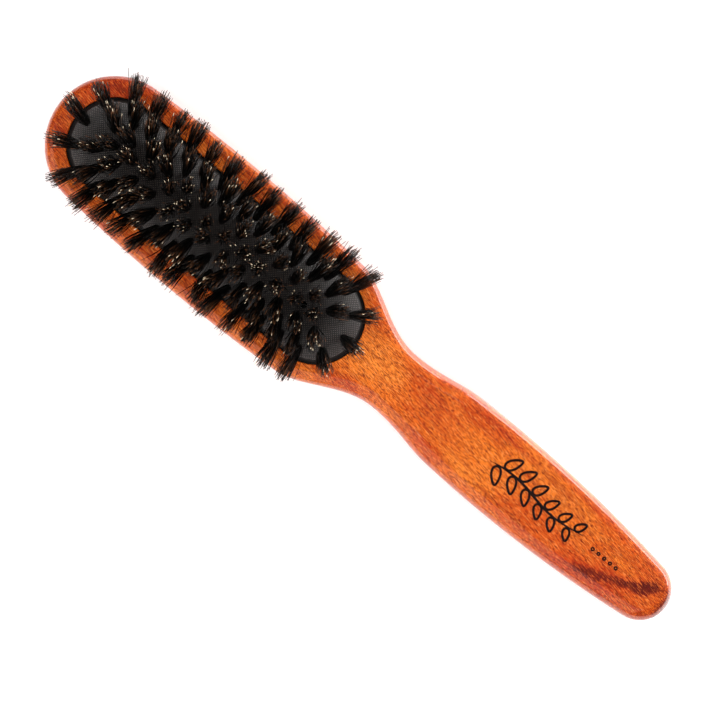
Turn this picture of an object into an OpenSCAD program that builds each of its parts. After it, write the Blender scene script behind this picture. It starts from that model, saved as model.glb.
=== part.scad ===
// Cushioned hairbrush: a one-piece wooden body with a pocket in its head, a domed rubber
// cushion held in the pocket's groove, a woven cloth bonded on the dome, and rows of
// bristle tufts, each folded round a wire staple behind the cushion.
// Millimetres. +X runs from the nose of the head to the butt of the handle, +Z points along
// the bristles, and the origin is under the middle of the body, on the face it lies on.
// Distances named *_x are measured along the brush from the nose.

/* [Body length and outline] */
// Length of the wooden body, from nose to butt
overall_l = 222; // [185:1:266]
// Width of the head at its widest
head_w = 41.6; // [34.6:0.1:50]
// Where the head is widest
head_widest_x = 54; // [45:1:70]
// Radius of the head's gently curved sides
head_flank_r = 530; // [420:10:800]
// Where the shoulder starts to draw in
shoulder_x = 94.6; // [84:0.1:104]
// Where the neck is narrowest
neck_x = 122.2; // [112:0.1:134]
// Width of the neck
neck_w = 19.1; // [15:0.1:24]
// Where the grip reaches its full curve
swell_x = 143.5; // [136:0.1:156]
// Width of the grip at its widest
grip_w = 25.1; // [20:0.1:32]
// Where the grip is widest
grip_widest_x = 162; // [150:1:175]
// Radius of the grip's gently curved sides
grip_flank_r = 390; // [300:1:800]

/* [Body thickness and edges] */
// Thickness of the head
head_t = 13.5; // [11.25:0.05:17]
// Thickness of the handle at the grip
handle_t = 12.4; // [10.5:0.05:16]
// Thickness at the butt
butt_t = 10.8; // [10:0.05:14]
// Radius of the front edge round the head
head_round = 3; // [2:0.1:3.6]
// Radius of the front edge round the handle
handle_round = 4.4; // [3:0.1:4.8]
// Radius of the back edge
back_round = 5; // [3:0.1:5.2]

/* [Pocket in the head] */
// Wood left between the nose and the pocket
nose_wall = 6.45; // [5:0.05:9]
// Length of the pocket
pocket_l = 101; // [84:1:106]
// Half the pocket's width, which is also the radius of its round ends
pocket_r = 13.6; // [11.3:0.1:15.5]
// Depth of the pocket below the front face
pocket_depth = 8; // [7:0.1:9]
// Depth of the groove that holds the cushion's bead
groove_d = 1; // [0.7:0.05:1.4]
// Height of the groove
groove_h = 1.8; // [1.4:0.1:2.2]
// Wood between the front face and the groove
groove_lip = 1.4; // [1.2:0.1:2]

/* [Cushion] */
// Height of the rubber dome above its rim
dome_h = 6.5; // [5:0.1:7.8]
// How far the rim lies below the front face
rim_drop = 0.8; // [0.4:0.1:1.2]
// Thickness of the rubber
rubber_t = 1.6; // [1.2:0.1:2]
// Thickness of the woven cloth on the dome
cloth_t = 0.5; // [0.3:0.05:0.7]
// Bare rubber left between the cloth and the pocket wall
bare_rim = 1.5; // [1:0.1:2]
// Narrow step between the skirt and the dome
rim_step = 0.3; // [0.2:0.05:0.5]
// Thickness of the skirt
skirt_t = 2.1; // [1.8:0.1:2.4]
// Height of the skirt that stands in the pocket
skirt_h = 3.2; // [2.9:0.1:4]
// Diameter of the air vent
vent_d = 1.9; // [1:0.1:2.2]

/* [Tufts] */
// Distance between tufts in a row
tuft_pitch = 6.45; // [5.4:0.05:8]
// How far the tufts at the ends of the rows lean outwards along the brush
fan_angle = 8; // [0:0.5:10]
// Length of the bristles above the cloth
bristle_l = 15; // [10:0.5:20]
// Radius of a tuft where it leaves the cloth
tuft_root_r = 1.05; // [0.8:0.05:1.3]
// Radius of a tuft at its tip
tuft_tip_r = 1.9; // [1.2:0.05:2.3]
// How much more a tuft leans than the dome under it
splay = 1.12; // [1:0.01:1.2]
// The same for the tufts at the round ends
end_splay = 0.71; // [0.5:0.01:1.1]
// Distance from the pocket wall to the outermost rows
rim_margin = 3.7; // [3.2:0.1:4.4]
// Distance from the pocket's round ends to the tufts there
end_margin = 4.1; // [3.6:0.1:5]
// Angle between the tufts at a round end
end_angle = 41; // [36:1:45]

/* [Staples] */
// Radius of the staple wire
wire_r = 0.35; // [0.2:0.01:0.45]
// Length of a staple
staple_l = 3.4; // [2.8:0.1:3.6]
// Gap from the rubber to a staple
staple_gap = 0.4; // [0.35:0.05:0.5]

/* [Fits] */
// Gap between the cushion and the wood
cushion_gap = 0.1; // [0.05:0.01:0.2]
// Gap round a tuft in the cushion
tuft_gap = 0.12; // [0.08:0.01:0.2]
// Gap round a staple in a tuft's fold
staple_fit = 0.02; // [0.01:0.01:0.05]

/* [Hidden] */
ROWS = [-3, -2, -1, 0, 1, 2, 3];
ROW_NAMES = ["1", "2", "3", "4", "5", "6", "7"];

$fn = 96;
overrun = 1;               // how far a cutter runs past the face it opens
on_axis = 0.01;            // nearer the middle line than this counts as on it
nose_steps = 11;           // facets from the nose to where its arc joins the side
flank_steps = 44;          // facets along a side
butt_steps = 8;            // facets from the side's end to the butt
edge_steps = 4;            // facets in a rounded edge
join_rounds = 20;          // rounds of the solver for the end arcs
slope_step = 0.01;         // step of the slope measurement

front_z = head_t;
rim_z = front_z - rim_drop;
skirt_r = pocket_r - cushion_gap;
dome_base_r = skirt_r - rim_step;
dome_r = (dome_base_r * dome_base_r + dome_h * dome_h) / (2 * dome_h);
dome_z = rim_z + dome_h - dome_r;
cloth_r = dome_r + cloth_t;
fold_wall = 0.75;          // bristles behind the staple wire
skin_t = rubber_t + cloth_t;
staple_depth = skin_t + staple_gap + wire_r;
tuft_depth = staple_depth + wire_r + fold_wall;

pocket_mid_x = nose_wall + pocket_l / 2 - overall_l / 2;
cap_dx = pocket_l / 2 - pocket_r;
row_gap = (pocket_r - rim_margin) / 3;
end_r = pocket_r - end_margin;
end_reach = 3;             // how far the odd rows may run into the round ends
odd_half = floor((cap_dx + end_reach) / tuft_pitch);
hole_run = 2;              // overrun of a tuft hole's cutter past the cloth

function mix(a, b, t) = a + (b - a) * t;
function smooth(a, b, x) = let (t = max(0, min(1, (x - a) / (b - a)))) t * t * (3 - 2 * t);
function arc_drop(r, d) = r - sqrt(r * r - d * d);

// ---- Outline of the body, as half its width at a distance x from the nose ----
function head_half(x) = head_w / 2 - arc_drop(head_flank_r, x - head_widest_x);
function grip_half(x) = grip_w / 2 - arc_drop(grip_flank_r, x - grip_widest_x);
function handle_half(x) = mix(neck_w / 2, grip_half(x), smooth(neck_x, swell_x, x));
function half_w(x) = mix(head_half(x), handle_half(x), smooth(shoulder_x, neck_x, x));
function slope(x) = (half_w(x + slope_step) - half_w(x - slope_step)) / (2 * slope_step);

// The nose and the butt are arcs centred on the axis and tangent to the sides. These give
// where each arc joins the side, by repeating x = f(x) until it settles.
function nose_join(x, n) =
    n == 0 ? x : nose_join(half_w(x) * (sqrt(1 + pow(slope(x), 2)) - slope(x)), n - 1);
function butt_join(x, n) =
    n == 0 ? x : butt_join(overall_l - half_w(x) * (sqrt(1 + pow(slope(x), 2)) + slope(x)), n - 1);

nose_jx = nose_join(head_w / 2, join_rounds);
butt_jx = butt_join(overall_l - grip_w / 2, join_rounds);
function arc_centre(jx) = jx + half_w(jx) * slope(jx);
function arc_radius(jx) = half_w(jx) * sqrt(1 + pow(slope(jx), 2));
function arc_angle(jx) = atan2(half_w(jx), jx - arc_centre(jx));

// Points of one side, nose to butt, each as [x, y, normal x, normal y]
function arc_point(jx, a) =
    [arc_centre(jx) + arc_radius(jx) * cos(a), arc_radius(jx) * sin(a), cos(a), sin(a)];
function flank_point(x) = let (s = slope(x), n = sqrt(1 + s * s)) [x, half_w(x), -s / n, 1 / n];
side = concat(
    [for (i = [0:nose_steps - 1]) arc_point(nose_jx, mix(180, arc_angle(nose_jx), i / nose_steps))],
    [for (i = [0:flank_steps]) flank_point(mix(nose_jx, butt_jx, i / flank_steps))],
    [for (i = [1:butt_steps]) arc_point(butt_jx, mix(arc_angle(butt_jx), 0, i / butt_steps))]
);
last = len(side) - 1;
loop_n = 2 * last;
loop = concat(side, [for (i = [last - 1:-1:1]) [side[i][0], -side[i][1], side[i][2], -side[i][3]]]);

// ---- Thickness and edge radii along the body ----
function top_z(x) =
    mix(head_t, handle_t, smooth(shoulder_x, swell_x, x))
    - (handle_t - butt_t) * smooth(swell_x, overall_l, x);
function front_round(x) = mix(head_round, handle_round, smooth(shoulder_x, swell_x, x));

// A layer is the outline drawn in by a share of the edge radius, at one height
function back_layer(p, a) =
    let (x = p[0] - back_round * (1 - sin(a)) * p[2], y = p[1] - back_round * (1 - sin(a)) * p[3])
    [x - overall_l / 2, y, back_round * (1 - cos(a))];
function front_layer(p, a) =
    let (r = front_round(p[0]), x = p[0] - r * (1 - cos(a)) * p[2], y = p[1] - r * (1 - cos(a)) * p[3])
    [x - overall_l / 2, y, top_z(x) - r * (1 - sin(a))];

module board() {
    quarter = [for (i = [0:edge_steps]) 90 * i / edge_steps];
    points = concat(
        [for (a = quarter) for (p = loop) back_layer(p, a)],
        [for (a = quarter) for (p = loop) front_layer(p, a)]
    );
    layers = 2 * (edge_steps + 1);
    top = (layers - 1) * loop_n;
    mirror_of = function (i) (loop_n - i) % loop_n;
    polyhedron(points, concat(
        [for (l = [0:layers - 2]) for (i = [0:loop_n - 1])
            let (j = (i + 1) % loop_n, a = l * loop_n, b = a + loop_n)
            [a + i, b + i, b + j, a + j]],
        [for (i = [0:last - 1]) i == 0 ? [0, 1, mirror_of(1)]
            : i == last - 1 ? [i, last, mirror_of(i)]
            : [i, i + 1, mirror_of(i + 1), mirror_of(i)]],
        [for (i = [0:last - 1]) i == 0 ? [top, top + mirror_of(1), top + 1]
            : i == last - 1 ? [top + i, top + mirror_of(i), top + last]
            : [top + i, top + mirror_of(i), top + mirror_of(i + 1), top + i + 1]]
    ));
}

// Carries a half profile, x from the middle line and y upwards, round the pocket's outline
module track() {
    for (end = [-1, 1])
        translate([pocket_mid_x + end * cap_dx, 0, 0])
            rotate([0, 0, -90 * end])
                rotate_extrude(angle = 180) children();
    translate([pocket_mid_x - cap_dx, 0, 0])
        rotate([90, 0, 90])
            linear_extrude(2 * cap_dx) {
                children();
                mirror([1, 0]) children();
            }
}

module wooden_body() {
    color("sienna")
    difference() {
        board();
        track() translate([0, front_z - pocket_depth]) square([pocket_r, pocket_depth + overrun]);
        track() translate([pocket_r - overrun, front_z - groove_lip - groove_h])
            square([groove_d + overrun, groove_h]);
    }
}

// ---- Tufts: where each stands, as [x, y, distance from the middle line, compass angle,
// lean that way, lean along the brush] ----
function row_count(k) = abs(k) % 2 == 1 ? 2 * odd_half + 1 : 2 * odd_half;
function row_tufts(k) = [for (i = [0:row_count(k) - 1])
    let (x = (i - (row_count(k) - 1) / 2) * tuft_pitch)
    tuft_at(x, k * row_gap, splay, fan_angle * x / cap_dx)];
function end_tufts(end) = [for (a = [-end_angle, 0, end_angle])
    tuft_at(end * (cap_dx + end_r * cos(a)), end_r * sin(a), end_splay, 0)];
function tuft_at(x, y, lean, fan) =
    let (past = x > cap_dx ? x - cap_dx : x < -cap_dx ? x + cap_dx : 0, d = norm([past, y]))
    [pocket_mid_x + x, y, d, d < on_axis ? 90 : atan2(y, past), lean * asin(d / cloth_r), fan];

// Puts its children on the cloth at a tuft, with Z along the tuft
module on_tuft(t) {
    translate([t[0], t[1], dome_z + sqrt(cloth_r * cloth_r - t[2] * t[2])])
        rotate([0, t[5], 0])
            rotate([0, t[4], t[3]])
                children();
}

module tuft_holes() {
    for (t = concat([for (k = ROWS) each row_tufts(k)], end_tufts(-1), end_tufts(1)))
        on_tuft(t)
            translate([0, 0, -tuft_depth])
                cylinder(r = tuft_root_r + tuft_gap, h = tuft_depth + hole_run);
}

module vent_hole() {
    translate([pocket_mid_x + (odd_half - 1) * tuft_pitch, 0, rim_z])
        cylinder(d = vent_d, h = dome_h + hole_run);
}

module dome_ring(outer, inner, reach) {
    intersection() {
        translate([0, dome_z])
            difference() {
                circle(outer);
                circle(inner);
            }
        translate([0, rim_z]) square([reach, dome_h + cloth_t + overrun]);
    }
}

// The cushion cut across: dome, skirt and the bead that sits in the pocket's groove
module cushion_profile() {
    dome_ring(dome_r, dome_r - rubber_t, dome_base_r + overrun);
    translate([skirt_r - skirt_t, rim_z - skirt_h]) square([skirt_t, skirt_h]);
    translate([skirt_r - skirt_t, front_z - groove_lip - groove_h + cushion_gap])
        square([skirt_t + groove_d, groove_h - 2 * cushion_gap]);
}

module rubber_cushion() {
    color("#1c1b1b")
    difference() {
        track() cushion_profile();
        tuft_holes();
        vent_hole();
    }
}

module cushion_cloth() {
    color("#333234")
    difference() {
        track() dome_ring(cloth_r, dome_r, pocket_r - bare_rim);
        tuft_holes();
        vent_hole();
    }
}

// The bristles' taper runs on down through the cushion to the fold round the staple
module tufts(places) {
    fold_r = tuft_root_r - (tuft_tip_r - tuft_root_r) * tuft_depth / bristle_l;
    color("#15110e")
    for (t = places)
        on_tuft(t)
            difference() {
                translate([0, 0, -tuft_depth])
                    cylinder(r1 = fold_r, r2 = tuft_tip_r, h = tuft_depth + bristle_l);
                wire(wire_r + staple_fit, 4 * tuft_root_r);
            }
}

module wire(r, l) {
    translate([0, 0, -staple_depth])
        rotate([90, 0, 0])
            cylinder(r = r, h = l, center = true);
}

module staples(places) {
    color("silver")
    for (t = places)
        on_tuft(t)
            wire(wire_r, staple_l);
}

wooden_body();
rubber_cushion();
cushion_cloth();
for (i = [0:len(ROWS) - 1]) {
    tufts(row_tufts(ROWS[i]));
    staples(row_tufts(ROWS[i]));
}
tufts(end_tufts(-1));  // nose_tufts
tufts(end_tufts(1));  // neck_tufts
staples(end_tufts(-1));  // nose_staples
staples(end_tufts(1));  // neck_staples
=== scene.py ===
# %% [markdown]
# # A cushioned hairbrush
# The brush lies on its back with the bristles up. Its body is one piece of stained beech.
# A domed rubber cushion sits in a pocket in the head, a woven cloth is bonded on the dome,
# and 94 tufts of natural bristle stand through both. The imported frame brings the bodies
# and the joint: pressing the cushion sinks the middle row and tilts the others.

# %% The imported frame
import math
import bpy
import bmesh
import numpy as np
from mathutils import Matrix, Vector


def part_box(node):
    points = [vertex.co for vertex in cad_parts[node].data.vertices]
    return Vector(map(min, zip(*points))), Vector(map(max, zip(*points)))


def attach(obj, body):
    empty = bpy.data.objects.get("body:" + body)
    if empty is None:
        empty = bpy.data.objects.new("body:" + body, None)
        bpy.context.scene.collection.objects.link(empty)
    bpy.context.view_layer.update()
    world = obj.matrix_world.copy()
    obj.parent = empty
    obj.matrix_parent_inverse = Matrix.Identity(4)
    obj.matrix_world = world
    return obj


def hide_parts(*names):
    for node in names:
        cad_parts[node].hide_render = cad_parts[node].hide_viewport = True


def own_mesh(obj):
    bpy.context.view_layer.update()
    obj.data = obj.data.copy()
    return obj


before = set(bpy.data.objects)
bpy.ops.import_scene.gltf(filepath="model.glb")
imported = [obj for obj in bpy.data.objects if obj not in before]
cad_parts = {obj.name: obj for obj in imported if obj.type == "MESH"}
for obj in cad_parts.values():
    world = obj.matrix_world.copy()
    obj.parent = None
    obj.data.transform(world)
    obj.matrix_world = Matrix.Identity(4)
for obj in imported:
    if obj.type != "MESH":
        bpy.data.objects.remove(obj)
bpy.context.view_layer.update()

MM = 0.001
RNG = np.random.default_rng(94)

body_low, body_high = (np.array(corner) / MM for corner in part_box("wooden_body"))
cushion_low, cushion_high = (np.array(corner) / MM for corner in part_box("rubber_cushion"))
BODY_L = body_high[0] - body_low[0]
BACK_X = body_low[0]                                # the nose, in the frame's X
PAD_X = (cushion_low[0] + cushion_high[0]) / 2      # the middle of the cushion
print("body", np.round(body_high - body_low, 1), "cushion middle at", round(PAD_X, 2))

# %% [markdown]
# ## The camera and the studio
# The brush is seen from straight above, turned so that it runs across the frame from one
# corner to the other. A long lens keeps the picture almost flat. The face of the brush is a
# mirror under its lacquer, so the space above it is left dark and the light comes from soft
# panels at the sides. The white table glows, more on its far side: the rounded edges catch
# it as pale bands, and the flat wood keeps its full colour.

# %% Camera
TURN = math.radians(40.08)
FRAME_W = 198.0 * MM           # what the picture spans at the height of the wood's face
AIM_X, AIM_Y = -2.2, -1.46      # the middle of the picture, in millimetres
LENS = 120.0
SENSOR = 36.0
distance = FRAME_W * LENS / SENSOR
camera_data = bpy.data.cameras.new("camera")
camera_data.lens = LENS
camera_data.sensor_width = SENSOR
camera_data.clip_start = 0.01
camera = bpy.data.objects.new("camera", camera_data)
camera.location = (AIM_X * MM, AIM_Y * MM, body_high[2] * MM + distance)
camera.rotation_euler = (0, 0, TURN)
bpy.context.scene.collection.objects.link(camera)
bpy.context.scene.camera = camera
print("camera height", round(camera.location.z, 3))


# %% Floor, soft panels and a dim sky
def panel(name, place, size, power, aim=(0, 0, 0), mirrored=True):
    """A rectangular soft light that faces the point it is aimed at. One that isn't
    mirrored lights the brush but doesn't show in its lacquer."""
    light = bpy.data.lights.new(name, "AREA")
    light.shape = "RECTANGLE"
    light.size, light.size_y = size
    light.energy = power
    lamp = bpy.data.objects.new(name, light)
    lamp.location = place
    toward = (lamp.location - Vector(aim)).to_track_quat("Z", "Y")
    lamp.rotation_euler = toward.to_euler()
    lamp.visible_glossy = mirrored
    bpy.context.scene.collection.objects.link(lamp)


panel("panel_above", (0.1, 0.1, 1.1), (1.0, 1.0), 11.2, mirrored=False)
panel("panel_left", (-0.3, -0.75, 0.45), (1.4, 0.6), 8, mirrored=False)
panel("panel_right", (0.3, 0.75, 0.4), (1.4, 0.6), 7, mirrored=False)
panel("panel_near", (-0.1, -0.7, 0.7), (1.6, 1.3), 4.5)
panel("panel_far", (0.36, 0.77, 0.085), (0.9, 0.15), 4.0)

# %% The lit table
TABLE_SIZE = 6                 # metres
TABLE_DROP = 0.05              # millimetres under the flat back, so the two don't share a plane
GLOW_FROM, GLOW_TO = 0.02, 0.04    # where the glow rises, in metres towards the far side
GLOW_NEAR, GLOW_FAR = 0.15, 2.2
bpy.ops.mesh.primitive_plane_add(size=TABLE_SIZE, location=(0, 0, -TABLE_DROP * MM))
floor = bpy.context.object
floor.name = "floor"
table_top = bpy.data.materials.new("white_table")
table_top.use_nodes = True
table_nodes, table_links = table_top.node_tree.nodes, table_top.node_tree.links
table_shader = table_nodes["Principled BSDF"]
table_shader.inputs["Base Color"].default_value = (0.9, 0.9, 0.9, 1)
table_shader.inputs["Roughness"].default_value = 1.0
table_shader.inputs["Emission Color"].default_value = (1, 1, 1, 1)
table_place = table_nodes.new("ShaderNodeTexCoord")
toward_far = table_nodes.new("ShaderNodeVectorMath")
toward_far.operation = "DOT_PRODUCT"
toward_far.inputs[1].default_value = (0.25, 0.97, 0)
brighter = table_nodes.new("ShaderNodeMapRange")
brighter.interpolation_type = "SMOOTHSTEP"
for socket, number in zip(list(brighter.inputs)[1:5], (GLOW_FROM, GLOW_TO, GLOW_NEAR, GLOW_FAR)):
    socket.default_value = number
table_links.new(table_place.outputs["Object"], toward_far.inputs[0])
table_links.new(toward_far.outputs["Value"], brighter.inputs["Value"])
table_links.new(brighter.outputs[0], table_shader.inputs["Emission Strength"])
floor.data.materials.append(table_top)

sky = bpy.data.worlds.new("dim_sky")
sky.use_nodes = True
sky.node_tree.nodes["Background"].inputs["Color"].default_value = (1, 1, 1, 1)
sky.node_tree.nodes["Background"].inputs["Strength"].default_value = 0.05
bpy.context.scene.world = sky
bpy.context.scene.view_settings.view_transform = "Standard"

# %% [markdown]
# ## Making a surface from a grid
# Every piece here is a grid of points: one direction runs round or along the piece, the
# other across it. Four neighbouring points make one face. Where a grid closes on itself or
# runs to a point, the doubled vertices are merged, so that no seam or pole stays open.


# %% Grid helper
def grid_piece(name, grid, wrap_u=False, wrap_v=False, turn=False, uv=None):
    """Points grid[u, v] in millimetres become a smooth mesh in metres. Face corners run
    (u, v), (u+1, v), (u+1, v+1), (u, v+1), or the other way round with turn."""
    count_u, count_v = grid.shape[:2]
    index = np.arange(count_u * count_v).reshape(count_u, count_v)
    rows = np.vstack([index, index[:1]]) if wrap_u else index
    cells = np.hstack([rows, rows[:, :1]]) if wrap_v else rows
    faces = np.stack([cells[:-1, :-1], cells[1:, :-1], cells[1:, 1:], cells[:-1, 1:]], -1)
    faces = faces.reshape(-1, 4)
    return mesh_piece(name, grid.reshape(-1, 3), faces[:, ::-1] if turn else faces,
                      None if uv is None else uv.reshape(-1, 2))


def mesh_piece(name, points, faces, uv=None):
    """One object from points in millimetres, faces of four corners and a UV per point."""
    mesh = bpy.data.meshes.new(name)
    mesh.vertices.add(len(points))
    mesh.vertices.foreach_set("co", (points * MM).astype(np.float32).ravel())
    mesh.loops.add(faces.size)
    mesh.loops.foreach_set("vertex_index", faces.astype(np.int32).ravel())
    mesh.polygons.add(len(faces))
    mesh.polygons.foreach_set("loop_start", np.arange(0, faces.size, 4, dtype=np.int32))
    mesh.update(calc_edges=True)
    mesh.polygons.foreach_set("use_smooth", np.ones(len(faces), bool))
    if uv is not None:
        layer = mesh.uv_layers.new(name="Surface")
        layer.data.foreach_set("uv", uv[faces.ravel()].astype(np.float32).ravel())
    piece = bpy.data.objects.new(name, mesh)
    bpy.context.scene.collection.objects.link(piece)
    return piece


MERGE_WITHIN = 2e-7            # metres
NO_LENGTH = 1e-8


def weld(piece):
    """Merges doubled points and drops the faces that this leaves with no area."""
    shape = bmesh.new()
    shape.from_mesh(piece.data)
    bmesh.ops.remove_doubles(shape, verts=shape.verts, dist=MERGE_WITHIN)
    bmesh.ops.dissolve_degenerate(shape, edges=shape.edges, dist=NO_LENGTH)
    shape.to_mesh(piece.data)
    open_edges = sum(len(edge.link_faces) != 2 for edge in shape.edges)
    print(piece.name, len(shape.faces), "faces,", open_edges, "open edges,",
          round(shape.calc_volume() / MM ** 3), "mm3")
    shape.free()
    return piece


# %% [markdown]
# ## The wooden body
# The real body is cut from a beech board, shaped on a spindle and rounded at its edges.
# A lathe profile can't make it and a cage of boxes would need many loops, so the outline
# is written as a formula: half the width at each distance from the nose, with the nose and
# the butt as arcs that join it smoothly. A cross-section is then carried round that
# outline: flat back, rounded back edge, side, rounded front edge, and the front face that
# runs in to the pocket.

# %% Outline values, in millimetres from the nose
HEAD_W = 41.6
HEAD_WIDEST_X = 54.0
HEAD_FLANK_R = 530.0
SHOULDER_X = 94.6
NECK_X = 122.2
NECK_W = 19.1
SWELL_X = 143.5
GRIP_W = 25.1
GRIP_WIDEST_X = 162.0
GRIP_FLANK_R = 390.0
HEAD_T = body_high[2]
HANDLE_T = HEAD_T - 1.1
BUTT_T = HEAD_T - 2.7
HEAD_ROUND = 3.0
HANDLE_ROUND = 4.4
BACK_ROUND = 5.0


def smooth(a, b, x):
    """0 up to a, 1 from b, and an S-shaped cubic between them."""
    t = np.clip((x - a) / (b - a), 0, 1)
    return t * t * (3 - 2 * t)


def arc_drop(radius, d):
    """How far a circle of that radius has dropped at a distance d from its top."""
    return radius - np.sqrt(radius ** 2 - d ** 2)


def half_width(x):
    """The head's flank turns into the handle's at the shoulder, by a smooth mix."""
    head = HEAD_W / 2 - arc_drop(HEAD_FLANK_R, x - HEAD_WIDEST_X)
    grip = GRIP_W / 2 - arc_drop(GRIP_FLANK_R, x - GRIP_WIDEST_X)
    handle = NECK_W / 2 + (grip - NECK_W / 2) * smooth(NECK_X, SWELL_X, x)
    return head + (handle - head) * smooth(SHOULDER_X, NECK_X, x)


def flank_slope(x):
    """The outline's slope, as the rise over a small step to each side."""
    step = 0.01
    return (half_width(x + step) - half_width(x - step)) / (2 * step)


def end_joins():
    """Where the end arcs, centred on the axis and tangent to the flanks, meet the flanks.
    Each round puts the last answer back in, until it settles."""
    rounds = 20
    nose, butt = HEAD_W / 2, BODY_L - GRIP_W / 2
    for _ in range(rounds):
        nose = half_width(nose) * (math.sqrt(1 + flank_slope(nose) ** 2) - flank_slope(nose))
        butt = BODY_L - half_width(butt) * (
            math.sqrt(1 + flank_slope(butt) ** 2) + flank_slope(butt))
    return nose, butt


def outline(nose_steps=56, flank_steps=400, butt_steps=40):
    """Points and outward normals round the body: one side from nose to butt, then the
    mirrored side back. Each arc is its centre plus its radius along the normal."""
    nose, butt = end_joins()
    parts = []
    ends = ((nose, 180.0, None, nose_steps), (butt, None, 0.0, butt_steps))
    for join, first, last, steps in ends:
        centre = join + half_width(join) * flank_slope(join)
        radius = half_width(join) * math.sqrt(1 + flank_slope(join) ** 2)
        meet = math.degrees(math.atan2(half_width(join), join - centre))
        start = meet if first is None else first
        stop = meet if last is None else last
        angle = np.radians(np.linspace(start, stop, steps + 1))
        normal = np.stack([np.cos(angle), np.sin(angle)], -1)
        parts.append((np.array([centre, 0]) + radius * normal, normal))
    x = np.linspace(nose, butt, flank_steps + 1)[1:-1]
    slope = flank_slope(x)
    normal = np.stack([-slope, np.ones_like(x)], -1) / np.sqrt(1 + slope ** 2)[:, None]
    parts.insert(1, (np.stack([x, half_width(x)], -1), normal))
    side, normals = (np.concatenate([part[i] for part in parts]) for i in (0, 1))
    flip = np.array([1, -1])
    return (np.concatenate([side, side[-2:0:-1] * flip]),
            np.concatenate([normals, normals[-2:0:-1] * flip]))


def face_height(x):
    """Height of the front face: level over the head, lower on the handle and at the butt."""
    return (HEAD_T + (HANDLE_T - HEAD_T) * smooth(SHOULDER_X, SWELL_X, x)
            - (HANDLE_T - BUTT_T) * smooth(SWELL_X, BODY_L, x))


# %% The pocket's outline
POCKET_R = 13.6
POCKET_L = 101.0
CAP_DX = POCKET_L / 2 - POCKET_R
PAD_MID = PAD_X - BACK_X           # the cushion's middle, from the nose
POCKET_DEPTH = 8.0
POCKET_ROUND = 0.35
GROOVE_D = 1.0                     # the slot that the cushion's bead snaps into
GROOVE_H = 1.8
GROOVE_TOP = HEAD_T - 1.4


def core_point(points):
    """The nearest point of the pocket's middle line, a straight piece on the axis."""
    x = np.clip(points[:, 0], PAD_MID - CAP_DX, PAD_MID + CAP_DX)
    return np.stack([x, np.zeros_like(x)], -1)


# %% Carving the body
def steady(angle):
    """Angles from the nose to the butt that never turn back, and their mirror. Past the
    narrow neck the plain ones would, and the ring round the pocket would fold."""
    side = np.minimum.accumulate(angle[:len(angle) // 2 + 1])
    return np.concatenate([side, -side[-2:0:-1]])


BACK_RINGS = 6
BACK_EDGE_RINGS = 12
FRONT_EDGE_RINGS = 14
FACE_RINGS = 32
FACE_CROWD = 1.5               # above 1, the face's rings crowd towards the outer edge
LIP_RINGS = 5
FLOOR_RINGS = 5


def body_rings():
    """Rings of points from the middle of the back, out round both edges, over the front
    face and down the pocket to the middle of its floor."""
    edge, normal = outline()
    x = edge[:, 0]
    rings = []

    def add(points, z):
        rings.append(np.column_stack([points, np.broadcast_to(z, len(points))]))

    def back_edge(angle):
        return edge - BACK_ROUND * (1 - math.sin(angle)) * normal

    for share in np.linspace(0, 1, BACK_RINGS)[:-1]:
        add(back_edge(0) * [1, share], 0.0)
    for angle in np.radians(np.linspace(0, 90, BACK_EDGE_RINGS)):
        add(back_edge(angle), BACK_ROUND * (1 - math.cos(angle)))
    radius = HEAD_ROUND + (HANDLE_ROUND - HEAD_ROUND) * smooth(SHOULDER_X, SWELL_X, x)
    for angle in np.radians(np.linspace(0, 90, FRONT_EDGE_RINGS)):
        inset = (radius * (1 - math.cos(angle)))[:, None] * normal
        add(edge - inset, face_height(x) - radius * (1 - math.sin(angle)))
    rim = edge - radius[:, None] * normal
    core = core_point(rim)
    angle = steady(np.arctan2(rim[:, 1], rim[:, 0] - core[:, 0]))
    toward = np.stack([np.cos(angle), np.sin(angle)], -1)
    lip = core + (POCKET_R + POCKET_ROUND) * toward
    for share in np.linspace(0, 1, FACE_RINGS)[1:] ** FACE_CROWD:
        points = rim + (lip - rim) * share
        add(points, face_height(points[:, 0]))
    for angle in np.radians(np.linspace(0, 90, LIP_RINGS)[1:]):
        reach = POCKET_R + POCKET_ROUND * (1 - math.sin(angle))
        add(core + reach * toward, HEAD_T - POCKET_ROUND * (1 - math.cos(angle)))
    for reach, z in ((0, 0), (GROOVE_D, 0), (GROOVE_D, GROOVE_H), (0, GROOVE_H)):
        add(core + (POCKET_R + reach) * toward, GROOVE_TOP - z)
    floor_z = HEAD_T - POCKET_DEPTH
    for share in np.linspace(1, 0, FLOOR_RINGS):
        add(core + POCKET_R * share * toward, floor_z)
    return np.stack(rings, 1)


rings = body_rings()
rings[..., 0] += BACK_X
wood_body = weld(grid_piece("wood_body", rings, wrap_u=True, turn=True))

# %% [markdown]
# ## Stained and lacquered beech
# Beech has a plain, even ground with thousands of short dark flecks along the grain, and a
# stain takes unevenly: it is darker in soft streaks and on end grain. A flat brown would
# miss all of it, and a painted image can't be carried by this script, so the material is
# worked out in layers from the piece's own coordinates: a mottled ground, long soft
# streaks, then the flecks. The few large streaks of this piece of timber, and the pocket's
# painted shade, are laid on the mesh as an attribute. A clear coat over all of it gives
# the gloss.


# %% Node helpers
def linear(red, green, blue):
    """A colour in the 0 to 255 scale of a paint chart, as the linear value shaders use."""
    level = np.array([red, green, blue]) / 255
    value = np.where(level <= 0.04045, level / 12.92, ((level + 0.055) / 1.055) ** 2.4)
    return (*(float(v) for v in value), 1.0)


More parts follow.
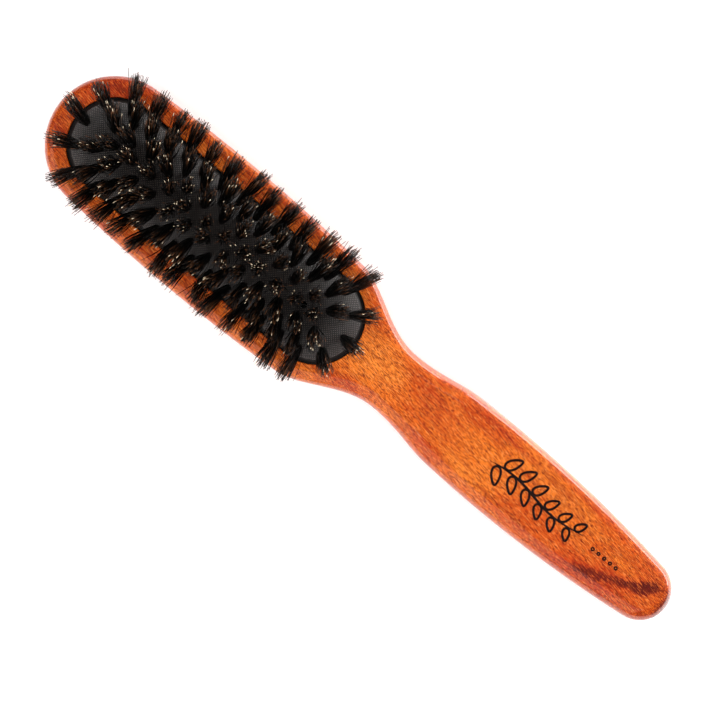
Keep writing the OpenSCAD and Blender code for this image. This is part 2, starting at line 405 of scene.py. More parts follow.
class Net:
    """Short calls for making and joining the nodes of one material or group."""

    def __init__(self, tree):
        self.tree = tree

    def add(self, kind, settings=None, **inputs):
        """A node of a kind, with its settings and what goes into its inputs."""
        made = self.tree.nodes.new("ShaderNode" + kind)
        for key, value in (settings or {}).items():
            setattr(made, key, value)
        for key, value in inputs.items():
            self.feed(made.inputs[key.replace("_", " ")], value)
        return made

    def feed(self, socket, value):
        """Joins an output to a socket, or sets the socket's own value."""
        if isinstance(value, bpy.types.NodeSocket):
            self.tree.links.new(value, socket)
        else:
            socket.default_value = value

    def math(self, operation, first, second=0.0):
        """One sum on one or two numbers."""
        made = self.add("Math", {"operation": operation})
        for socket, value in zip(made.inputs, (first, second)):
            self.feed(socket, value)
        return made.outputs[0]

    def mix(self, share, first, second):
        """Two colours mixed by a share."""
        made = self.add("Mix", {"data_type": "RGBA", "clamp_factor": True})
        self.feed(made.inputs[0], share)
        self.feed(made.inputs[6], first)
        self.feed(made.inputs[7], second)
        return made.outputs[2]

    def span(self, value, low, high, to_low=0.0, to_high=1.0):
        """A value from low to high carried smoothly to a new range, and held at its ends."""
        made = self.add("MapRange", {"interpolation_type": "SMOOTHSTEP"})
        for socket, number in zip(made.inputs, (value, low, high, to_low, to_high)):
            self.feed(socket, number)
        return made.outputs[0]

    def place(self, coordinates, scale, turn=0.0):
        """Coordinates turned about Z by degrees, then scaled along each axis."""
        turned = self.add("Mapping", {"vector_type": "POINT"}, Vector=coordinates)
        turned.inputs["Rotation"].default_value = (0, 0, math.radians(turn))
        scaled = self.add("Mapping", {"vector_type": "POINT"}, Vector=turned.outputs[0])
        scaled.inputs["Scale"].default_value = scale
        return scaled.outputs[0]

    def uneven(self, scale, detail=3.0):
        """The shared group of soft noise, placed with this material's own values."""
        made = self.add("Group", {"node_tree": UNEVENNESS}, Scale=scale, Detail=detail)
        return made.outputs[0]

    def noise(self, vector, detail, roughness):
        """Soft noise with one bump per unit of its coordinates, from 0 to 1."""
        made = self.add("TexNoise", Vector=vector, Scale=1.0, Detail=detail,
                        Roughness=roughness)
        return made.outputs[0]


def make_unevenness():
    """A node group: soft noise from 0 to 1 on the piece's own coordinates times a scale."""
    group = bpy.data.node_groups.new("soft_unevenness", "ShaderNodeTree")
    for name, kind in (("Scale", "NodeSocketVector"), ("Detail", "NodeSocketFloat")):
        group.interface.new_socket(name, in_out="INPUT", socket_type=kind)
    group.interface.new_socket("Value", in_out="OUTPUT", socket_type="NodeSocketFloat")
    net = Net(group)
    given = group.nodes.new("NodeGroupInput")
    result = group.nodes.new("NodeGroupOutput")
    scaled = net.add("VectorMath", {"operation": "MULTIPLY"})
    net.feed(scaled.inputs[0], net.add("TexCoord").outputs["Object"])
    net.feed(scaled.inputs[1], given.outputs["Scale"])
    noise = net.add("TexNoise", Vector=scaled.outputs[0], Scale=1.0, Roughness=0.6)
    net.feed(noise.inputs["Detail"], given.outputs["Detail"])
    net.feed(result.inputs["Value"], noise.outputs[0])
    return group


UNEVENNESS = make_unevenness()


def material(name, **constant):
    """A new material's net and its shader, with the values that don't change over it."""
    made = bpy.data.materials.new(name)
    made.use_nodes = True
    shader = made.node_tree.nodes["Principled BSDF"]
    for key, value in constant.items():
        shader.inputs[key.replace("_", " ")].default_value = value
    return made, Net(made.node_tree), shader


# %% Streaks of this piece of timber, and the pocket's painted shade
STAIN_LOW, STAIN_HIGH = -1.0, 1.1
POCKET_SHADE = 2.0                   # the value that marks the pocket's wall and floor, painted near black as painted shade
# From this height up to just under the face, the pocket is painted near black as painted shade.
POCKET_SHADE_FROM_Z = 5.0
POCKET_SHADE_UNDER_FACE = 0.5


def lay_stain_and_shade(piece, streaks):
    """Adds up soft ovals (x, y, half length, half width, depth, turn in degrees) into a point
    attribute of stain and painted shade: each is a bell curve of the distance from its middle,
    and a depth below 0 is a pale patch. The sum is held in its limits, and the pocket's wall
    and floor take a value past them, which the wood's material paints near black: painted
    shade for the dark inside of the cushion, seen through the air vent and the thin gap round
    it."""
    points = np.empty(len(piece.data.vertices) * 3, np.float32)
    piece.data.vertices.foreach_get("co", points)
    points = points.reshape(-1, 3) / MM - [BACK_X, 0, 0]
    stain_and_shade = np.zeros(len(points))
    for x, y, half_l, half_w, depth, turn in streaks:
        angle = math.radians(turn)
        along = (points[:, 0] - x) * math.cos(angle) + (points[:, 1] - y) * math.sin(angle)
        across = (points[:, 1] - y) * math.cos(angle) - (points[:, 0] - x) * math.sin(angle)
        stain_and_shade += depth * np.exp(-(along / half_l) ** 2 - (across / half_w) ** 2)
    stain_and_shade = np.clip(stain_and_shade, STAIN_LOW, STAIN_HIGH)
    # The pocket's wall and floor take the value that is painted near black: painted shade.
    inside = np.linalg.norm(points[:, :2] - core_point(points), axis=1) < POCKET_R + GROOVE_D
    between = (points[:, 2] > POCKET_SHADE_FROM_Z) & (points[:, 2] < HEAD_T - POCKET_SHADE_UNDER_FACE)
    stain_and_shade[inside & between] = POCKET_SHADE
    layer = piece.data.attributes.new("stain_and_shade", "FLOAT", "POINT")
    layer.data.foreach_set("value", stain_and_shade.astype(np.float32))
    print("stained points", int((stain_and_shade > 0.3).sum()), "of", len(stain_and_shade))


STREAKS = [
    (116, 1.5, 13, 6.5, -0.75, -6),
    (180, 5.0, 16, 3.0, -0.4, -4),
    (150, -6.5, 16, 2.5, -0.4, 4),
    (136, 2.0, 9, 5.5, 0.6, -6),
    (158, 8.6, 12, 1.5, 0.75, -5),
    (183, 9.3, 15, 1.3, 0.6, -4),
    (139, -7.8, 7, 1.2, 0.6, -3),
    (194, -7.2, 9, 2.6, 0.75, 20),
    (203, -3.4, 6, 2.2, 0.36, 24),
    (208, -1.8, 4.5, 1.6, 0.48, 26),
    (213.0, 0.2, 2.2, 1.5, 1.4, 35),
    (215.0, 2.6, 2.0, 1.1, 0.6, 10),
    (216, 0.0, 13, 14, 0.5, 0),
    (221, 0.0, 2.5, 9, 0.5, 0),
    (211, 5.5, 9, 2.5, 0.35, -8),
    (202, -7.5, 8, 2.5, 0.45, 10),
    (112, -8.5, 14, 2.0, 0.5, 12),
    (10, 14, 12, 6, 0.7, 35),
    (4, -5, 8, 14, 0.75, 0),
    (45, -18, 45, 2.2, 0.45, 0),
    (60, 18, 50, 1.8, 0.45, 0),
]
lay_stain_and_shade(wood_body, STREAKS)


# %% Beech under lacquer
def beech():
    """Ground, streaks and flecks, each a noise stretched along the grain."""
    made, net, shader = material("stained_beech", Coat_Weight=1.0, Coat_Roughness=0.05,
                                 Coat_IOR=1.5, IOR=1.45, Specular_IOR_Level=0.15)
    where = net.add("TexCoord").outputs["Object"]
    grain_turn = 8.0
    ground = net.noise(net.place(where, (28, 90, 60), grain_turn), 4.0, 0.62)
    long_streak = net.noise(net.place(where, (35, 700, 400), grain_turn / 2), 3.0, 0.6)
    hatch = net.noise(net.place(where, (420, 3600, 3000), grain_turn), 3.0, 0.75)
    fleck = net.noise(net.place(where, (800, 6000, 5000), grain_turn), 1.0, 0.5)
    stain_and_shade = net.add("Attribute", {"attribute_name": "stain_and_shade"}).outputs["Fac"]
    light, middle = linear(220, 110, 24), linear(196, 76, 9)
    dark, wine = linear(126, 29, 8), linear(54, 13, 14)
    colour = net.mix(net.span(ground, 0.36, 0.6), light, middle)
    colour = net.mix(net.span(stain_and_shade, -0.7, 0.0, 0.8, 0.0), colour, linear(236, 130, 42))
    colour = net.mix(net.span(long_streak, 0.45, 0.72, 0.0, 0.5), colour, dark)
    patch = net.math("MULTIPLY", net.math("MAXIMUM", stain_and_shade, 0.0),
                     net.span(hatch, 0.32, 0.58, 0.55, 1.0))
    colour = net.mix(net.span(hatch, 0.34, 0.5, 0.55, 0.0), colour, linear(238, 146, 72))
    colour = net.mix(net.math("MULTIPLY", patch, 0.9), colour, linear(172, 36, 12))
    colour = net.mix(net.span(patch, 0.6, 0.88, 0.0, 0.95), colour, wine)
    colour = net.mix(net.span(hatch, 0.5, 0.66, 0.0, 0.7), colour, dark)
    marks = net.span(fleck, 0.5, 0.62)
    colour = net.mix(net.math("MULTIPLY", marks, 0.8), colour, linear(92, 26, 7))
    # Painted shade: the pocket's wall and floor go near black, so the air vent and the gap round
    # the cushion look dark.
    colour = net.mix(net.span(stain_and_shade, 1.2, 1.6), colour, linear(9, 8, 8))
    net.feed(shader.inputs["Base Color"], colour)
    net.feed(shader.inputs["Roughness"], net.span(ground, 0.3, 0.7, 0.38, 0.5))
    bump = net.add("Bump", Strength=0.25, Distance=0.00006)
    relief = net.math("SUBTRACT", net.math("MULTIPLY", long_streak, 0.5), marks)
    net.feed(bump.inputs["Height"], relief)
    net.feed(shader.inputs["Normal"], bump.outputs[0])
    return made


wood_body.data.materials.append(beech())
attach(wood_body, "brush")
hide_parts("wooden_body")

# %% [markdown]
# ## The mark on the handle
# The handle carries a printed mark in dark ink, under the lacquer. This brush has a plain
# sprig of leaves and a row of dots. A picture of it would need an image file, so each
# stroke is a strip of ink, a few hundredths of a millimetre thick, that follows a curve on
# the face of the handle.

# %% Strokes of ink
INK_T = 0.03
INK_SUNK = 0.03
SPRIG_START, SPRIG_END = 157.5, 191.0
SPRIG_Y = 0.4
STEM_WAVE = 0.9                # how far the stem swings to each side
STEM_TURNS = 2.2               # the waves' phase from end to end, in half turns
STEM_W = 0.95
STEM_THINNING = 0.35           # the share of its width that the stem loses on the way
LEAF_PAIRS = 6
LEAF_FIRST, LEAF_LAST = 0.08, 0.86     # where the pairs stand, as shares of the stem
LEAF_STAGGER = 0.03
LEAF_L, LEAF_L_LESS = 5.3, 0.34        # the first leaf, and how much less each next one is
LEAF_W, LEAF_W_LESS = 2.5, 0.12
LEAF_ANGLE = 58.0
LEAF_OFF = 0.5                 # from the middle of the stem to the foot of a leaf
LEAF_LINE_W = 0.72
EGG = 0.35                     # how much fuller a leaf is near its foot
DOT_START, DOT_END, DOT_COUNT = 195.0, 203.4, 5
DOT_Y, DOT_R, DOT_LINE_W = -0.2, 0.4, 0.45


def stroke(path, width, closed=False):
    """A strip along a path: at each point a small rectangle set across the path, from just
    under the face to just over it. An open one runs to a point at both ends."""
    ahead = np.roll(path, -1, 0) - np.roll(path, 1, 0) if closed else np.gradient(path, axis=0)
    across = np.stack([-ahead[:, 1], ahead[:, 0]], -1) / np.linalg.norm(ahead, axis=1)[:, None]
    width = np.broadcast_to(width, len(path))[:, None, None]
    side = np.array([-0.5, -0.5, 0.5, 0.5])[None, :, None]
    plan = path[:, None, :] + side * width * across[:, None, :]
    rise = np.array([-INK_SUNK, INK_T, INK_T, -INK_SUNK])
    if not closed:
        rise = rise * (width[..., 0] > 0)
    z = face_height(plan[..., 0]) + rise
    return np.concatenate([plan, z[..., None]], -1), closed


def stem_point(t):
    """A gentle wave along the handle, t from 0 to 1."""
    x = SPRIG_START + (SPRIG_END - SPRIG_START) * t
    return np.stack([x, STEM_WAVE * np.sin(STEM_TURNS * np.pi * t) + SPRIG_Y], -1)


def leaf(t, side, length, width):
    """An egg-shaped loop from a point of the stem: out by length * (1 - cos a) / 2 and
    across by width * sin a * (1 + EGG * cos a) / 2, leaning forward from the stem."""
    angle = np.linspace(0, 2 * np.pi, 36, endpoint=False)
    out = length * (1 - np.cos(angle)) / 2
    wide = width * np.sin(angle) * (1 + EGG * np.cos(angle)) / 2
    lean = math.radians(LEAF_ANGLE) * side
    forward = np.array([math.cos(lean), math.sin(lean)])
    across = np.array([-forward[1], forward[0]])
    return stem_point(t) + (out + LEAF_OFF)[:, None] * forward + wide[:, None] * across


def draw_sprig():
    """All the strokes and dots as one mesh."""
    t = np.linspace(0, 1, 80)
    taper = STEM_W * np.sqrt(np.clip(np.sin(np.pi * t), 0, 1)) * (1 - STEM_THINNING * t)
    taper[[0, -1]] = 0
    strips = [stroke(stem_point(t), taper)]
    for order, place in enumerate(np.linspace(LEAF_FIRST, LEAF_LAST, LEAF_PAIRS)):
        length, width = LEAF_L - LEAF_L_LESS * order, LEAF_W - LEAF_W_LESS * order
        for side in (-1, 1):
            loop = leaf(place + LEAF_STAGGER * side, side, length, width)
            strips.append(stroke(loop, LEAF_LINE_W, closed=True))
    for x in np.linspace(DOT_START, DOT_END, DOT_COUNT):
        angle = np.linspace(0, 2 * np.pi, 24, endpoint=False)
        ring = np.stack([x + DOT_R * np.cos(angle), DOT_Y + DOT_R * np.sin(angle)], -1)
        strips.append(stroke(ring, DOT_LINE_W, closed=True))
    points, faces, count = [], [], 0
    for grid, closed in strips:
        n = len(grid)
        index = np.arange(n * 4).reshape(n, 4)
        rows = np.vstack([index, index[:1]]) if closed else index
        cells = np.hstack([rows, rows[:, :1]])
        quads = np.stack([cells[:-1, :-1], cells[:-1, 1:], cells[1:, 1:], cells[1:, :-1]], -1)
        points.append(grid.reshape(-1, 3))
        faces.append(quads.reshape(-1, 4) + count)
        count += n * 4
    return weld(mesh_piece("ink_sprig", np.concatenate(points) + [BACK_X, 0, 0],
                           np.concatenate(faces)))


def ink():
    """Brown-black ink, a little worn where the grain shows through."""
    made, net, shader = material("brown_ink", Specular_IOR_Level=0.12)
    grain = net.uneven((500, 4000, 3000), 2.0)
    net.feed(shader.inputs["Base Color"],
             net.mix(net.span(grain, 0.5, 0.75), linear(22, 11, 8), linear(52, 25, 14)))
    net.feed(shader.inputs["Roughness"], net.span(grain, 0.3, 0.7, 0.4, 0.6))
    return made


ink_sprig = draw_sprig()
ink_sprig.data.materials.append(ink())
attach(ink_sprig, "brush")

# %% [markdown]
# ## The rubber cushion
# The real cushion is a moulded rubber dome on a skirt, with a bead that snaps into a groove
# in the pocket. Its plan is a straight piece with two half circles for ends, so one
# cross-section can be carried round that track. The dome is one piece, because it flattens
# when it is pressed, and the skirt is another, because it stays where it is.

# %% Cushion values
RIM_DROP = 0.8
RIM_Z = HEAD_T - RIM_DROP
CUSHION_GAP = 0.1
RIM_STEP = 0.3
DOME_H = 6.5
RUBBER_T = 1.6
CLOTH_T = 0.5
BARE_RIM = 1.5
SKIRT_R = POCKET_R - CUSHION_GAP
SKIRT_T = 2.1
SKIRT_H = 3.2
BEAD_TOP = HEAD_T - 1.5
BEAD_H = 1.6
DOME_BASE_R = SKIRT_R - RIM_STEP
DOME_R = (DOME_BASE_R ** 2 + DOME_H ** 2) / (2 * DOME_H)
DOME_Z = RIM_Z + DOME_H - DOME_R
CLOTH_R = DOME_R + CLOTH_T


def track(cap_steps=72, straight_steps=170):
    """Round the pocket's middle line: (core points, outward directions). Two straight
    runs and two half turns, each spread evenly."""
    half_turn = np.radians(np.linspace(-90, 90, cap_steps + 1))
    turn = np.stack([np.cos(half_turn), np.sin(half_turn)], -1)
    run = np.linspace(CAP_DX, -CAP_DX, straight_steps + 1)[1:-1]
    up = np.tile([0.0, 1.0], (len(run), 1))
    core_x = np.concatenate([np.full(len(turn), CAP_DX), run, np.full(len(turn), -CAP_DX), -run])
    out = np.concatenate([turn, up, -turn, -up])
    return np.stack([core_x + PAD_X, np.zeros(len(core_x))], -1), out


def carry(profile):
    """Grid of points: each (reach, height) of the profile, set out from the core points."""
    core, out = track()
    plan = core[:, None, :] + profile[None, :, :1] * out[:, None, :]
    height = np.broadcast_to(profile[None, :, 1:], plan.shape[:2] + (1,))
    return np.concatenate([plan, height], -1)


def dome_arc(radius, reach, steps):
    """From the crown out to a reach along a circle about the dome's centre."""
    angle = np.linspace(0, math.asin(reach / radius), steps)
    return np.stack([radius * np.sin(angle), DOME_Z + radius * np.cos(angle)], -1)


# %% Where the tufts stand
TUFT_PITCH = 6.45
RIM_MARGIN = 3.7
END_MARGIN = 4.1
ROW_GAP = (POCKET_R - RIM_MARGIN) / 3
END_R = POCKET_R - END_MARGIN
END_ANGLE = 41.0
END_REACH = 3.0
SPLAY = 1.12
END_SPLAY = 0.71
FAN_ANGLE = 8.0
BRISTLE_L = 15.0
TUFT_ROOT_R = 1.05
TUFT_TIP_R = 1.9
STAPLE_GAP = 0.4
WIRE_R = 0.35
FOLD_WALL = 0.75
TUFT_DEPTH = RUBBER_T + CLOTH_T + STAPLE_GAP + 2 * WIRE_R + FOLD_WALL
HALF_COUNT = math.floor((CAP_DX + END_REACH) / TUFT_PITCH)


def row_places(row):
    """Plan points of one row: odd rows have a tuft in the middle, even rows a gap."""
    count = 2 * HALF_COUNT + row % 2
    x = (np.arange(count) - (count - 1) / 2) * TUFT_PITCH
    return np.stack([x, np.full(count, row * ROW_GAP)], -1), SPLAY, FAN_ANGLE


def end_places(end):
    """Plan points of the three tufts at one round end, on a circle about its centre."""
    angle = np.radians([-END_ANGLE, 0, END_ANGLE])
    x = end * (CAP_DX + END_R * np.cos(angle))
    return np.stack([x, END_R * np.sin(angle)], -1), END_SPLAY, 0.0


def stand(plan, splay, fan):
    """Root points on the cloth and three directions per tuft: across, across, along. A
    tuft leans with the dome's slope times splay, then along the brush by its share of
    the fan angle."""
    past = plan[:, 0] - np.clip(plan[:, 0], -CAP_DX, CAP_DX)
    reach = np.hypot(past, plan[:, 1])
    compass = np.arctan2(plan[:, 1], past)
    lean = splay * np.arcsin(reach / CLOTH_R)
    tip = np.radians(fan) * plan[:, 0] / CAP_DX
    zero = np.zeros_like(lean)
    along = np.stack([np.sin(lean) * np.cos(compass), np.sin(lean) * np.sin(compass),
                      np.cos(lean)], -1)
    down = np.stack([np.cos(lean) * np.cos(compass), np.cos(lean) * np.sin(compass),
                     -np.sin(lean)], -1)
    side = np.stack([-np.sin(compass), np.cos(compass), zero], -1)
    tilt = np.zeros((len(plan), 3, 3))
    tilt[:, 0, 0] = tilt[:, 2, 2] = np.cos(tip)
    tilt[:, 0, 2] = np.sin(tip)
    tilt[:, 2, 0] = -np.sin(tip)
    tilt[:, 1, 1] = 1
    root = np.column_stack([plan[:, 0] + PAD_X, plan[:, 1],
                            DOME_Z + np.sqrt(CLOTH_R ** 2 - reach ** 2)])
    return root, [np.einsum("nij,nj->ni", tilt, axis) for axis in (down, side, along)]


GROUPS = {f"row_{row + 4}": row_places(row) for row in range(-3, 4)}
GROUPS["nose"] = end_places(-1)
GROUPS["neck"] = end_places(1)
TUFTS = {name: stand(*places) for name, places in GROUPS.items()}
ROOTS = np.concatenate([root for root, _ in TUFTS.values()])
print(len(ROOTS), "tufts in", len(TUFTS), "groups")


# %% The rubber dome, the skirt and the air vent
VENT_D = 1.9
PUNCH_L = 12.0
DOME_RINGS = 44
DOME_DIMPLED = 34              # the dimples stop at this ring, short of the rim
DOME_DIMPLE, DOME_DIMPLE_R = 0.12, 1.4
SKIRT_DROP = 0.02              # the skirt's top stands this far under the dome's foot
SKIRT_ROUND = 0.25
VENT_X = PAD_X + (HALF_COUNT - 1) * TUFT_PITCH


def press_dimples(grid, depth, width):
    """Draws the surface down round every tuft by depth times a bell curve."""
    away = np.linalg.norm(grid[:, :, None, :2] - ROOTS[:, :2], axis=-1).min(-1)
    grid[..., 2] -= depth * np.exp(-(away / width) ** 2)
    return grid


def bore_vent(piece):
    """Cuts the air vent through a piece with a round punch."""
    bpy.ops.mesh.primitive_cylinder_add(vertices=40, radius=VENT_D / 2 * MM, depth=PUNCH_L * MM,
                                        location=(VENT_X * MM, 0, (RIM_Z + DOME_H) * MM))
    punch = bpy.context.object
    cut = piece.modifiers.new("vent", "BOOLEAN")
    cut.operation = "DIFFERENCE"
    cut.solver = "EXACT"
    cut.object = punch
    shaped = piece.evaluated_get(bpy.context.evaluated_depsgraph_get())
    mesh = bpy.data.meshes.new_from_object(shaped)
    piece.modifiers.remove(cut)
    piece.data = mesh
    bpy.data.objects.remove(punch)
    return piece


def corner(centre, radius, start, stop, steps=5):
    """Points of a rounded corner, from one compass angle in degrees to another."""
    angle = np.radians(np.linspace(start, stop, steps))
    return np.asarray(centre) + radius * np.stack([np.cos(angle), np.sin(angle)], -1)


def make_dome():
    """A shell: out along the outer arc, in along the inner one."""
    outer = dome_arc(DOME_R, DOME_BASE_R, DOME_RINGS)
    inner_r = DOME_R - RUBBER_T
    inner = dome_arc(inner_r, math.sqrt(inner_r ** 2 - (RIM_Z - DOME_Z) ** 2), 14)
    profile = np.concatenate([outer, inner[::-1]])
    grid = carry(profile)
    dimpled = grid[:, :DOME_DIMPLED].copy()
    grid[:, :DOME_DIMPLED] = press_dimples(dimpled, DOME_DIMPLE, DOME_DIMPLE_R)
    return bore_vent(weld(grid_piece("rubber_dome", grid, wrap_u=True)))


def make_skirt():
    """A closed ring: top edge with a small round, outer wall, bead, foot and inner wall."""
    inside, edge, top = SKIRT_R - SKIRT_T, SKIRT_ROUND, RIM_Z - SKIRT_DROP
    bead_out = POCKET_R + GROOVE_D - CUSHION_GAP
    bead_mid = BEAD_TOP - BEAD_H / 2
    profile = np.concatenate([
        [[inside, top]],
        corner((SKIRT_R - edge, top - edge), edge, 90, 0),
        [[SKIRT_R, BEAD_TOP]],
        corner((bead_out - BEAD_H / 2, bead_mid), BEAD_H / 2, 90, -90, 9),
        [[SKIRT_R, BEAD_TOP - BEAD_H]],
        corner((SKIRT_R - edge, RIM_Z - SKIRT_H + edge), edge, 0, -90),
        corner((inside + edge, RIM_Z - SKIRT_H + edge), edge, -90, -180),
    ])
    return weld(grid_piece("rubber_skirt", carry(profile), wrap_u=True, wrap_v=True))


rubber_dome = make_dome()
rubber_skirt = make_skirt()

# %% [markdown]
# ## The cloth on the cushion
# A fine black plain weave is bonded to the dome and stops just short of the edge, so a bare
# rim of rubber shows round it. It is stretched evenly over the crown, with nothing to sag,
# so it is shaped by the dome's own formula and no cloth simulation is needed. Its UV map is
# the flat cut: the reach of each point is measured along the dome, so the threads keep
# their spacing as the cloth curves down.


# %% The cloth
CLOTH_RINGS = 60
CLOTH_DIMPLED = 58             # the dimples stop at this ring, short of the cloth's edge
CLOTH_DIMPLE, CLOTH_DIMPLE_R = 0.28, 1.3
CLOTH_LIFT = 0.02              # between the cloth and the rubber
CLOTH_UNDERCUT = 0.08
CLOTH_BULGE = (0.12, -0.05)    # how the edge's middle swells, out and down


def make_cloth():
    """A thin shell like the dome's, with a rounded edge, and a UV in millimetres. Gives
    the cloth and its reach along the dome, from the middle line to its edge."""
    reach = POCKET_R - BARE_RIM
    outer = dome_arc(CLOTH_R, reach, CLOTH_RINGS)
    inner = dome_arc(DOME_R + CLOTH_LIFT, reach - CLOTH_UNDERCUT, 20)
    edge = (outer[-1] + inner[-1]) / 2 + CLOTH_BULGE
    profile = np.concatenate([outer, [edge], inner[::-1]])
    core, out = track()
    arc = CLOTH_R * np.arcsin(np.minimum(profile[:, 0] / CLOTH_R, 1))
    uv = (core - [PAD_X, 0])[:, None, :] + arc[None, :, None] * out[:, None, :]
    grid = carry(profile)
    dimpled = grid[:, :CLOTH_DIMPLED].copy()
    grid[:, :CLOTH_DIMPLED] = press_dimples(dimpled, CLOTH_DIMPLE, CLOTH_DIMPLE_R)
    piece = bore_vent(weld(grid_piece("cushion_weave", grid, wrap_u=True, uv=uv)))
    return piece, arc[CLOTH_RINGS - 1]


cushion_weave, cloth_arc = make_cloth()

# %% [markdown]
# ## Rubber and weave
# The rubber is plain and black: what shows that it is rubber is a soft sheen with a very
# slight unevenness. The weave is worked out from the UV map: a chequer says which thread
# lies on top at each crossing, and half a sine wave across each thread gives its round back.


# %% Rubber
def black_rubber():
    """Near black, with soft noise in its gloss and surface."""
    made, net, shader = material("black_rubber", Specular_IOR_Level=0.4)
    cloudy = net.uneven((400, 400, 400))
    net.feed(shader.inputs["Base Color"],
             net.mix(cloudy, linear(20, 19, 19), linear(34, 32, 31)))
    net.feed(shader.inputs["Roughness"], net.span(cloudy, 0.3, 0.7, 0.38, 0.55))
    bump = net.add("Bump", Strength=0.2, Distance=0.00005)
    net.feed(bump.inputs["Height"], net.uneven((2500, 2500, 2500), 2.0))
    net.feed(shader.inputs["Normal"], bump.outputs[0])
    return made


# %% Weave
THREAD = 0.43                 # millimetres from thread to thread


def woven_cloth():
    """Half sine waves across the threads, picked by a chequer of the crossings. The low
    places between the threads are painted near black, as painted shade.
    """
    made, net, shader = material("black_weave", Sheen_Weight=0.2, Sheen_Roughness=0.45,
                                 Specular_IOR_Level=0.7)
    flat = net.add("UVMap", {"uv_map": "Surface"}).outputs[0]
    split = net.add("SeparateXYZ", Vector=net.place(flat, (1 / THREAD, 1 / THREAD, 1)))
    u, v = split.outputs[0], split.outputs[1]
    round_u = net.math("ABSOLUTE", net.math("SINE", net.math("MULTIPLY", u, math.pi)))
    round_v = net.math("ABSOLUTE", net.math("SINE", net.math("MULTIPLY", v, math.pi)))
    cell = net.math("ADD", net.math("FLOOR", u), net.math("FLOOR", v))
    over = net.math("MODULO", net.math("ABSOLUTE", cell), 2.0)
    under = net.math("SUBTRACT", 1.0, over)
    height = net.math("ADD", net.math("MULTIPLY", over, net.math("MULTIPLY", round_u, round_v)),
                      net.math("MULTIPLY", under, net.math("MULTIPLY", round_v, 0.35)))
    cloudy = net.uneven((160, 160, 160))
    ground = net.mix(cloudy, linear(58, 50, 46), linear(90, 80, 74))
    # Painted shade: the low places between the threads go near black, and the thread tops keep
    # the lighter ground.
    colour = net.mix(net.span(height, 0.2, 0.8), linear(4, 3, 3), ground)
    net.feed(shader.inputs["Base Color"], colour)
    net.feed(shader.inputs["Roughness"], net.span(height, 0.0, 0.8, 0.85, 0.4))
    bump = net.add("Bump", Strength=1.0, Distance=0.00015)
    net.feed(bump.inputs["Height"], height)
    net.feed(shader.inputs["Normal"], bump.outputs[0])
    return made


rubber = black_rubber()
rubber_dome.data.materials.clear()
rubber_dome.data.materials.append(rubber)
rubber_skirt.data.materials.append(rubber)
cushion_weave.data.materials.clear()
cushion_weave.data.materials.append(woven_cloth())

# %% How the cushion moves
for soft in (rubber_dome, cushion_weave):
    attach(soft, "brush")
    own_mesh(soft)
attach(rubber_skirt, "brush")
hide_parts("rubber_cushion")
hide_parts("cushion_cloth")

# %% [markdown]
# ## The bristles
# A tuft is some forty natural bristles folded double round a staple, so it shows twice as
# many ends. Blender's hair would be quick, but it leaves no mesh to keep, so each end is a
# fine four-sided tube. All the tubes of a row are made in one go: the centre lines are an
# array of bristles by points, and a ring of four points is set round each. No two are quite
# the same in length or lean, which makes a tuft look like bristle and not like wire.

# %% Growing the bristles
HAIRS = 84
HAIR_R = 0.095
PALE_GLINT = 0.94                    # the chance value past which a bristle shows a pale cut end, partly real colour and partly a painted glint
RING = np.array([[1, 0], [0, 1], [-1, 0], [0, -1]])
CROWD_POWER = 0.62             # below 1, more bristles stand towards the outside of a tuft
STRAY = 0.25                   # how far a tip strays, as the usual share of STRAY_REACH
STRAY_REACH = 2.2
WILD_FROM = 0.93               # the chance value past which a bristle strays further
WILD_GAIN = 2.2
OUTER_SHORTER = 0.03           # the outer bristles of a tuft are this share shorter
LENGTH_VARIES = 0.065
BOW = 0.28
TUFT_LEAN = 0.06               # how far a whole tuft leans, for each millimetre of its height
# Bristles with a pale end, which is partly a painted glint, are this much thicker.
PALE_GLINT_THICKER = 1.12
OUTER_FEWER_PALE_GLINTS = 0.05            # the outer rows show fewer of these pale ends with their painted glint
FOLD_SHARE, ROOT_SHARE = 0.62, 0.9     # the bristles' part of the tuft's root radius
TIP_SHARE = 1.2
SPREAD_POWER = 0.72


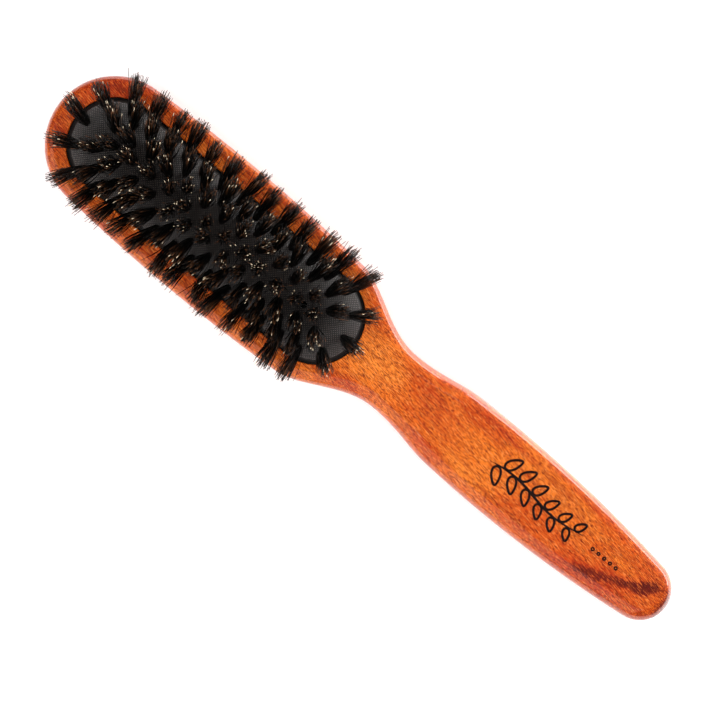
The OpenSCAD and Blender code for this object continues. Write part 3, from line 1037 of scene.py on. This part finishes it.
def grow(name, root, axes):
    """Centre lines: root + along * s, plus a spread that grows with the share of the length
    to SPREAD_POWER, plus a slight bow, which is half a sine wave. Rings of four points
    follow them, and end faces close them."""
    tufts = len(root)
    pick = (tufts, HAIRS)
    angle = RNG.uniform(0, 2 * np.pi, pick)
    share = RNG.uniform(0, 1, pick) ** CROWD_POWER
    stray = RNG.normal(0, STRAY, pick + (2,))
    wild = RNG.uniform(0, 1, pick) > WILD_FROM
    stray[wild] *= WILD_GAIN
    shorter = np.abs(RNG.normal(0, LENGTH_VARIES, pick))
    length = BRISTLE_L * (1.0 - OUTER_SHORTER * share ** 2 - shorter)
    bow = RNG.normal(0, BOW, pick + (2,))
    lean = RNG.normal(0, TUFT_LEAN, (tufts, 1, 2))
    thick = HAIR_R * RNG.uniform(0.8, 1.2, pick)
    tint = RNG.uniform(0, 1, pick)
    # Fewer pale ends, partly painted glints, in the outer rows; those bristles are thicker.
    tint *= 1 - OUTER_FEWER_PALE_GLINTS * (root[:, 1:2] / (3 * ROW_GAP)) ** 2
    thick[tint > PALE_GLINT] *= PALE_GLINT_THICKER
    spot = np.stack([np.cos(angle), np.sin(angle)], -1) * share[..., None]
    steps = np.array([-TUFT_DEPTH, 0.0, 0.18, 0.5, 0.8, 1.0])
    t = np.clip(steps, 0, 1)
    s = np.where(steps > 0, steps * length[..., None], steps)
    root_r = np.where(steps < 0, FOLD_SHARE, ROOT_SHARE) * TUFT_ROOT_R
    spread = (root_r + (TUFT_TIP_R * TIP_SHARE - TUFT_ROOT_R * ROOT_SHARE)
              * t ** SPREAD_POWER)
    offset = (spot[..., None, :] * spread[:, None]
              + stray[..., None, :] * t[:, None] * STRAY_REACH
              + bow[..., None, :] * np.sin(np.pi * t)[:, None]
              + lean[..., None, :] * (s * (s > 0))[..., None])
    taper = thick[..., None] * np.interp(t, [0, 0.6, 1], [1, 0.97, 0.72])
    ring = offset[..., None, :] + taper[..., None, None] * RING
    down, side, along = (axis[:, None, None, None, :] for axis in axes)
    points = (root[:, None, None, None, :] + along * s[..., None, None]
              + down * ring[..., :1] + side * ring[..., 1:])
    rings = len(steps)
    quad = np.arange(rings * 4).reshape(rings, 4)
    turned = np.roll(quad, -1, axis=1)
    walls = np.stack([quad[:-1], turned[:-1], turned[1:], quad[1:]], -1).reshape(-1, 4)
    ends = np.array([quad[0][::-1], quad[-1]])
    one = np.concatenate([walls, ends])
    first = np.arange(tufts * HAIRS)[:, None, None] * rings * 4
    uv = np.stack(np.broadcast_arrays(tint[..., None, None], t[:, None] * np.ones(4)), -1)
    piece = mesh_piece(name, points.reshape(-1, 3), (first + one).reshape(-1, 4),
                       uv.reshape(-1, 2))
    print(name, tufts, "tufts,", len(piece.data.polygons), "faces")
    return piece


# %% [markdown]
# ## Bristle and staple finishes
# Natural bristle is nearly black along its length and turns brown towards the tip, where it
# splits and the cut end shows pale gold; the pale ends are partly the bristle's own colour
# and partly a painted glint of light on the cut tips. The UV map carries this: one direction
# is a chance value for each bristle, the other runs from the cloth to the tip. The staples
# behind the cushion are drawn steel wire, and their parts of the frame only need that finish.


# %% Bristle
def bristle():
    """Black to brown along the hair, and on some a pale cut end: partly the bristle's colour,
    partly a painted glint.
    """
    made, net, shader = material("boar_bristle", Specular_IOR_Level=0.55)
    split = net.add("SeparateXYZ", Vector=net.add("UVMap", {"uv_map": "Surface"}).outputs[0])
    chance, along = split.outputs[0], split.outputs[1]
    brown = net.math("MULTIPLY", net.span(chance, 0.62, 1.0), net.span(along, 0.45, 1.0))
    colour = net.mix(brown, linear(8, 7, 6), linear(112, 72, 44))
    # The pale cut end is partly the bristle's own colour and partly a painted glint of light on
    # the tip.
    cut_end_and_glint = net.math("MULTIPLY", net.span(along, 0.87, 0.95),
                       net.math("GREATER_THAN", chance, PALE_GLINT))
    colour = net.mix(cut_end_and_glint, colour, linear(244, 224, 190))
    net.feed(shader.inputs["Base Color"], colour)
    net.feed(shader.inputs["Roughness"], net.span(chance, 0.0, 1.0, 0.32, 0.5))
    return made


# %% Steel wire
def steel_wire():
    """Drawn steel with fine lines along the wire."""
    made, net, shader = material("steel_wire", Metallic=1.0)
    drawn = net.uneven((300, 6000, 6000), 2.0)
    net.feed(shader.inputs["Base Color"],
             net.mix(drawn, linear(150, 150, 152), linear(205, 205, 206)))
    net.feed(shader.inputs["Roughness"], net.span(drawn, 0.3, 0.7, 0.25, 0.45))
    return made


# %% Planting the rows
hair_finish = bristle()
wire_finish = steel_wire()
for group, (root, axes) in TUFTS.items():
    in_row = group.startswith("row")
    body = f"{group}_of_tufts" if in_row else f"{group}_tuft_group"
    tuft_node = f"tuft_{group}" if in_row else f"{group}_tufts"
    wire_node = f"staple_{group}" if in_row else f"{group}_staples"
    hairs = grow(f"bristles_{group}", root, axes)
    hairs.data.materials.append(hair_finish)
    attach(hairs, body)
    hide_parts(tuft_node)
    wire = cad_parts[wire_node]
    wire.data.materials.clear()
    wire.data.materials.append(wire_finish)
